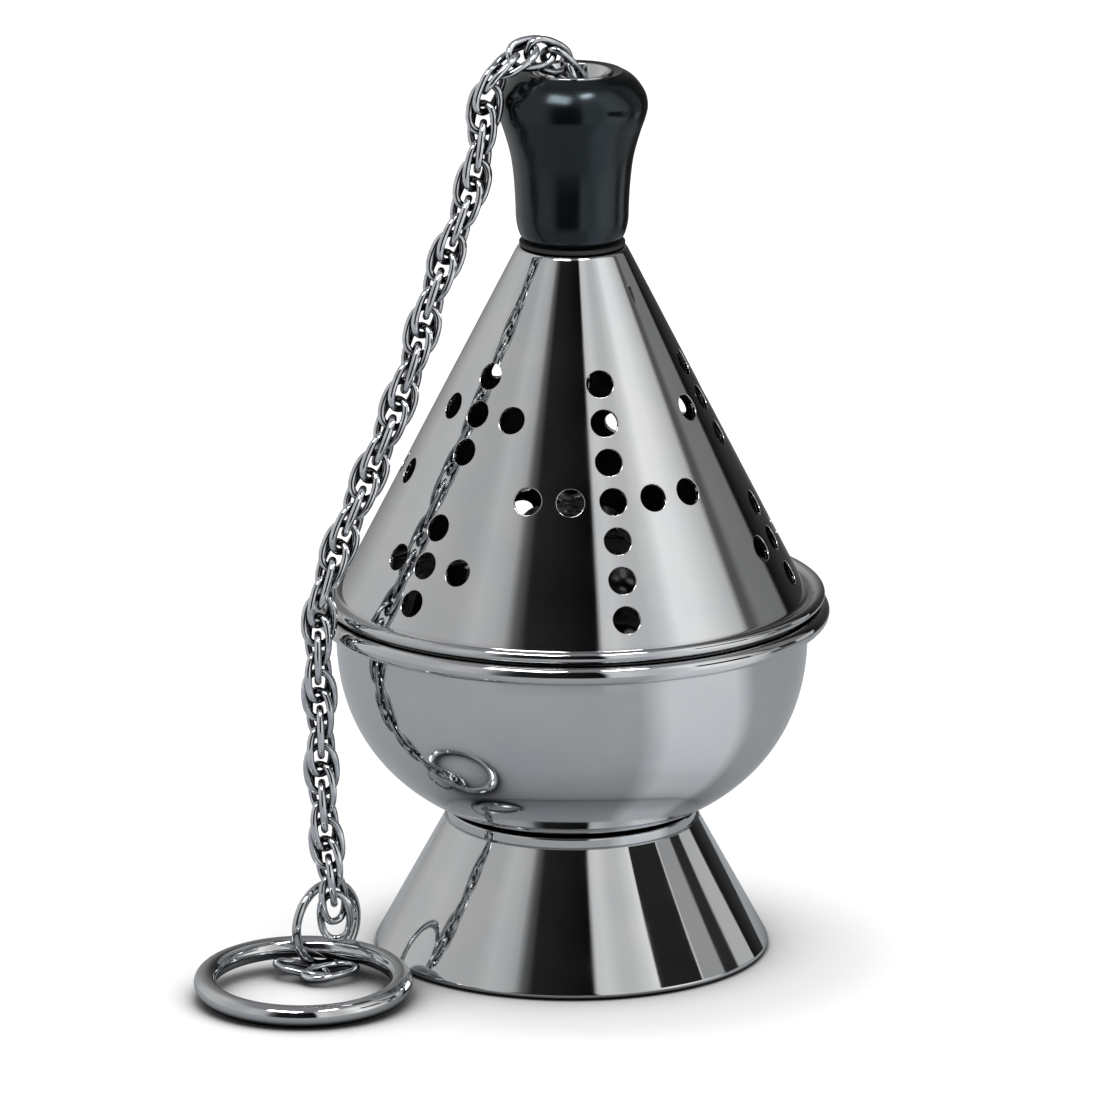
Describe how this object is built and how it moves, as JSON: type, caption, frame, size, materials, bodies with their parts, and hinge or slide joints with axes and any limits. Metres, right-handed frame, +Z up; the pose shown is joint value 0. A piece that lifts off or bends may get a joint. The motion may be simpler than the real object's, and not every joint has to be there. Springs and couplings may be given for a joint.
{
  "type": "thurible",
  "caption": "Single-chain censer: a footed bowl, a pierced cone lid that slides up its chain by a turned knob, and a finger ring.",
  "frame": {"origin": "centre of the foot's underside, on the surface that the censer stands on", "axes": "+Z up along the turning axis of foot, bowl and lid; the front is -Y, +X is to the right; the chain falls on the left front"},
  "size_m": [0.1429, 0.1247, 0.2117],
  "materials": {
    "polished_steel": "mirror-polished stainless steel",
    "chain_steel": "bright polished, slightly darker in the recesses",
    "plain_steel": "as rolled or turned, satin",
    "black_gloss": "turned and polished black phenolic",
    "black_matt": "matt black fibre washer"
  },
  "bodies": {
    "bowl_and_foot": {"foot": "polished_steel", "centre_bolt": "plain_steel", "foot_washer": "plain_steel", "foot_nut": "plain_steel", "bowl": "polished_steel", "stirrup": "plain_steel", "chain_eye": "plain_steel", "eye_nut": "plain_steel", "connecting_link": "chain_steel", "chain_inner": "chain_steel"},
    "charcoal_cup": {"charcoal_cup": "plain_steel"},
    "chain_in_knob": {"chain_in_knob": "chain_steel"},
    "lid": {"lid_cone": "polished_steel", "lid_locating_ring": "plain_steel", "knob": "black_gloss", "knob_tube": "polished_steel", "knob_washer": "black_matt", "inner_washer": "plain_steel", "lock_nut": "plain_steel"},
    "chain_drape": {"chain_outer": "chain_steel"},
    "jump_ring": {"jump_ring": "chain_steel"},
    "finger_ring": {"finger_ring": "chain_steel"}
  },
  "joints": [
    {"name": "lid_lift", "type": "slide", "parent": "bowl_and_foot", "child": "chain_in_knob", "axis": [0, 0, 1], "range_m": [0, 0.08]},
    {"name": "lid_turn", "type": "hinge", "parent": "chain_in_knob", "child": "lid", "pos_m": [0, 0, 0.165], "axis": [0, 0, 1], "continuous": true},
    {"name": "chain_swing", "type": "hinge", "parent": "chain_in_knob", "child": "chain_drape", "pos_m": [0, 0, 0.198], "axis": [-0.4226, 0.9063, 0], "range_deg": [0, 10]},
    {"name": "jump_ring_turn", "type": "hinge", "parent": "chain_drape", "child": "jump_ring", "pos_m": [-0.0554, -0.0206, 0.0107], "axis": [0.7071, -0.7071, 0], "continuous": true},
    {"name": "finger_ring_hang", "type": "hinge", "parent": "chain_drape", "child": "finger_ring", "pos_m": [-0.0554, -0.0206, 0.0052], "axis": [-0.9757, 0.2193, 0], "range_deg": [-80, 0]},
    {"name": "cup_lift", "type": "slide", "parent": "bowl_and_foot", "child": "charcoal_cup", "axis": [0, 0, 1], "range_m": [0, 0.03]}
  ],
  "couplings": [
    {"joint": "chain_swing", "follows": "lid_lift", "rad_per_m": 2.18},
    {"joint": "finger_ring_hang", "follows": "lid_lift", "rad_per_m": -17.4}
  ]
}
